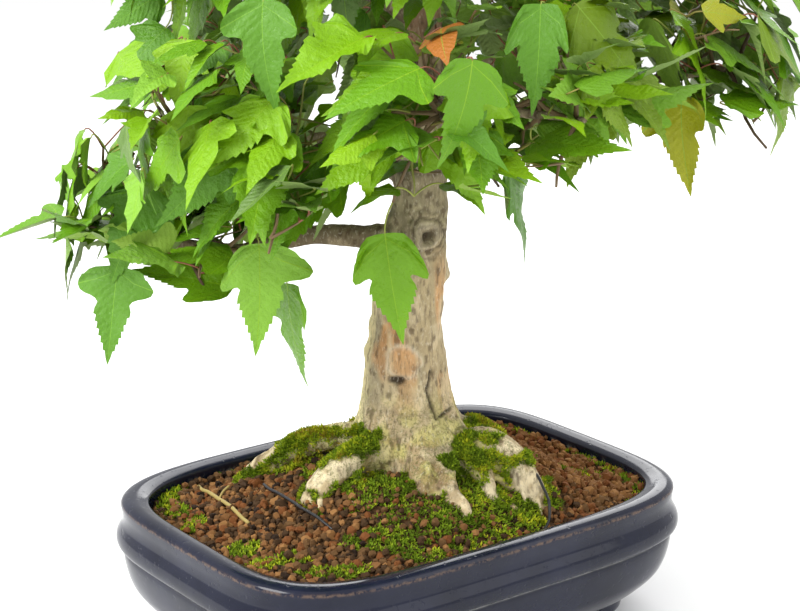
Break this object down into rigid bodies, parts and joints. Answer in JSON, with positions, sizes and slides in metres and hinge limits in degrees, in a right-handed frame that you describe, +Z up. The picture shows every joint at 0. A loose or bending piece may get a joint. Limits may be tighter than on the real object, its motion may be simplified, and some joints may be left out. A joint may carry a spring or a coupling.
{
  "type": "bonsai tree in a pot",
  "caption": "Trident maple bonsai with a tapering trunk, surface roots and a domed crown of three-lobed leaves, in a rounded oblong glazed pot filled with clay grit.",
  "frame": {"origin": "centre of the whole plant's bounding box in plan, on the plane that the pot's feet stand on", "axes": "+Z up the trunk; X along the pot's long side"},
  "size_m": [0.4034, 0.3502, 0.5023],
  "materials": {
    "glaze": "dark blue glaze, glossy",
    "grit": "fired clay granules, matt",
    "bark": "bark, matt",
    "leaf": "leaves, satin"
  },
  "bodies": {
    "root": {"pot": "glaze", "soil": "grit", "trunk": "bark", "bough_low_left": "bark", "bough_left_front": "bark", "bough_front": "bark", "bough_front_right": "bark", "bough_low_right": "bark", "bough_back_right": "bark", "bough_back": "bark", "bough_back_left": "bark", "bough_upper_left": "bark", "bough_upper_front": "bark", "bough_upper_right": "bark", "bough_upper_back": "bark", "leaves_low_left": "leaf", "leaves_left_front": "leaf", "leaves_front": "leaf", "leaves_front_right": "leaf", "leaves_low_right": "leaf", "leaves_back_right": "leaf", "leaves_back": "leaf", "leaves_back_left": "leaf", "leaves_upper_left": "leaf", "leaves_upper_front": "leaf", "leaves_upper_right": "leaf", "leaves_upper_back": "leaf", "leaves_apex": "leaf"}
  },
  "joints": []
}
